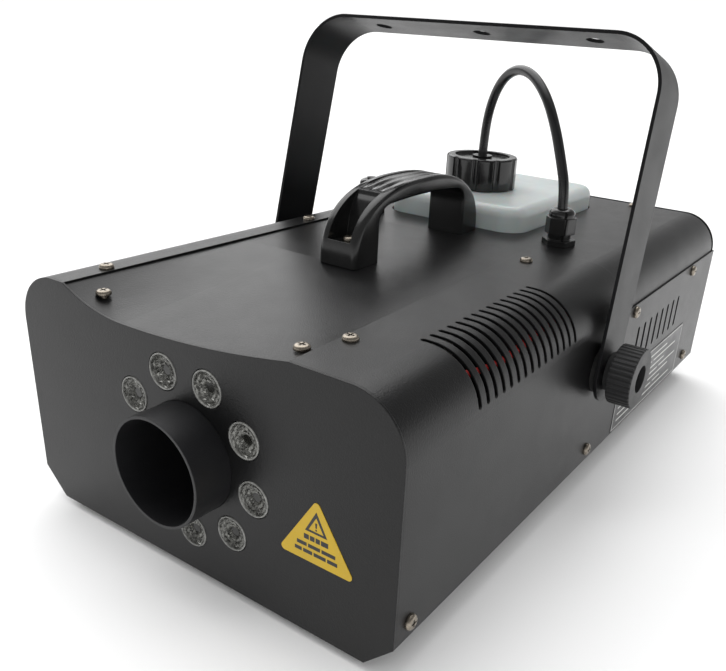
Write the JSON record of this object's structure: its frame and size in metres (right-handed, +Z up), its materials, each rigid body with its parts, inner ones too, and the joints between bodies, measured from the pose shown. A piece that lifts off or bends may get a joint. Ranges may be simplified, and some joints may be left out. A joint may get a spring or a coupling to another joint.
{
  "type": "fog machine",
  "caption": "Sheet-steel haze-type fog machine with a round nozzle ringed by lights, bow handle, lift-out tank with cap and hose, and a hanging yoke on clamp knobs.",
  "frame": {"origin": "bottom centre of the machine's box, on the surface that the feet stand on, the hose left out", "axes": "+Z up, the front panel and nozzle face -Y, +X is the side with the hose gland"},
  "size_m": [0.299, 0.4836, 0.2712],
  "materials": {
    "housing_paint": "black powder coat with a fine orange-peel texture, satin",
    "duct_paint": "matt black heat-proof paint",
    "yoke_paint": "black powder coat, satin",
    "galvanised": "zinc-plated sheet",
    "rubber_black": "matt moulded rubber",
    "lens_clear": "clear moulded lens",
    "black_plastic": "black moulded plastic, fine matt grain",
    "led_die": "yellow phosphor under clear resin",
    "board_white": "white solder mask",
    "label_yellow": "yellow vinyl sticker",
    "label_print": "black vinyl sticker with a white printed border",
    "screw_nickel": "bright nickel plate",
    "knob_plastic": "dark grey ribbed plastic",
    "tank_plastic": "translucent natural polyethylene",
    "fluid": "clear water-based fluid",
    "tray_plastic": "black moulded tray",
    "cap_plastic": "black nylon, slightly glossy",
    "clear_tube": "milky silicone tube",
    "hose_black": "black polyurethane hose, satin",
    "cast_aluminium": "as cast",
    "fibre_blanket": "woven ceramic fibre",
    "brass_fitting": "machined brass",
    "wire_red": "red silicone insulation",
    "circuit_green": "green solder mask",
    "component_dark": "dark moulded components",
    "rocker_red": "red translucent rocker",
    "button_grey": "grey moulded button"
  },
  "bodies": {
    "housing": {"base_pan": "housing_paint", "front_panel": "housing_paint", "rear_panel": "housing_paint", "left_cover": "housing_paint", "right_cover": "housing_paint", "top_cover": "housing_paint", "bulkhead": "galvanised", "rubber_feet": "rubber_black", "nozzle_duct": "duct_paint", "led_lenses": "lens_clear", "led_holders": "black_plastic", "led_emitters": "led_die", "led_board": "board_white", "warning_label": "label_yellow", "rating_label": "label_print", "friction_washers": "rubber_black", "pivot_studs": "screw_nickel", "handle": "black_plastic", "tank": "tank_plastic", "fog_fluid": "fluid", "tank_tray": "tray_plastic", "pickup_tube": "clear_tube", "pickup_filter": "screw_nickel", "gland_body": "cap_plastic", "gland_locknut": "cap_plastic", "breather_gland": "cap_plastic", "top_screws": "screw_nickel", "side_screws": "screw_nickel", "heater_block": "cast_aluminium", "heater_wrap": "fibre_blanket", "heater_straps": "galvanised", "heater_outlet": "brass_fitting", "thermostat": "brass_fitting", "earth_bracket": "brass_fitting", "heater_wires": "wire_red", "fan_frame": "black_plastic", "pump_body": "cast_aluminium", "pump_bracket": "galvanised", "suction_tube": "clear_tube", "circuit_boards": "circuit_green", "power_parts": "component_dark", "mains_inlet": "black_plastic", "contact_pins": "screw_nickel", "switch_frame": "black_plastic", "fuse_holder": "black_plastic", "data_sockets": "black_plastic", "display_window": "lens_clear", "hose": "hose_black"},
    "yoke_body": {"yoke": "yoke_paint"},
    "left_knob_body": {"left_knob": "knob_plastic"},
    "right_knob_body": {"right_knob": "knob_plastic"},
    "cap_body": {"tank_cap": "cap_plastic"},
    "gland_nut_body": {"gland_nut": "cap_plastic"},
    "rotor_body": {"fan_rotor": "black_plastic"},
    "rocker_body": {"power_rocker": "rocker_red"},
    "fuse_cap_body": {"fuse_cap": "black_plastic"},
    "menu_button_1_body": {"menu_button_1": "button_grey"},
    "menu_button_2_body": {"menu_button_2": "button_grey"},
    "menu_button_3_body": {"menu_button_3": "button_grey"},
    "menu_button_4_body": {"menu_button_4": "button_grey"}
  },
  "joints": [
    {"name": "yoke_tilt", "type": "hinge", "parent": "housing", "child": "yoke_body", "pos_m": [0, -0.00765, 0.0856], "axis": [1, 0, 0], "range_deg": [-8, 70]},
    {"name": "left_knob_turn", "type": "hinge", "parent": "housing", "child": "left_knob_body", "pos_m": [0, -0.00765, 0.0856], "axis": [1, 0, 0], "continuous": true},
    {"name": "right_knob_turn", "type": "hinge", "parent": "housing", "child": "right_knob_body", "pos_m": [0, -0.00765, 0.0856], "axis": [1, 0, 0], "continuous": true},
    {"name": "cap_turn", "type": "hinge", "parent": "housing", "child": "cap_body", "pos_m": [-0.033, 0.11175, 0.1561], "axis": [0, 0, 1], "continuous": true},
    {"name": "gland_nut_turn", "type": "hinge", "parent": "housing", "child": "gland_nut_body", "pos_m": [0.0625, 0.05175, 0.1464], "axis": [0, 0, 1], "continuous": true},
    {"name": "fan_spin", "type": "hinge", "parent": "housing", "child": "rotor_body", "pos_m": [0, -0.00425, 0.072], "axis": [0, 1, 0], "continuous": true},
    {"name": "power_rocker_tip", "type": "hinge", "parent": "housing", "child": "rocker_body", "pos_m": [-0.036, 0.23075, 0.045], "axis": [1, 0, 0], "range_deg": [-7, 7]},
    {"name": "fuse_cap_turn", "type": "hinge", "parent": "housing", "child": "fuse_cap_body", "pos_m": [-0.036, 0.23575, 0.077], "axis": [0, 1, 0], "range_deg": [-60, 0]},
    {"name": "menu_button_1_press", "type": "slide", "parent": "housing", "child": "menu_button_1_body", "axis": [0, -1, 0], "range_m": [0, 0.0012], "stiffness_N_per_m": 300},
    {"name": "menu_button_2_press", "type": "slide", "parent": "housing", "child": "menu_button_2_body", "axis": [0, -1, 0], "range_m": [0, 0.0012], "stiffness_N_per_m": 300},
    {"name": "menu_button_3_press", "type": "slide", "parent": "housing", "child": "menu_button_3_body", "axis": [0, -1, 0], "range_m": [0, 0.0012], "stiffness_N_per_m": 300},
    {"name": "menu_button_4_press", "type": "slide", "parent": "housing", "child": "menu_button_4_body", "axis": [0, -1, 0], "range_m": [0, 0.0012], "stiffness_N_per_m": 300}
  ]
}
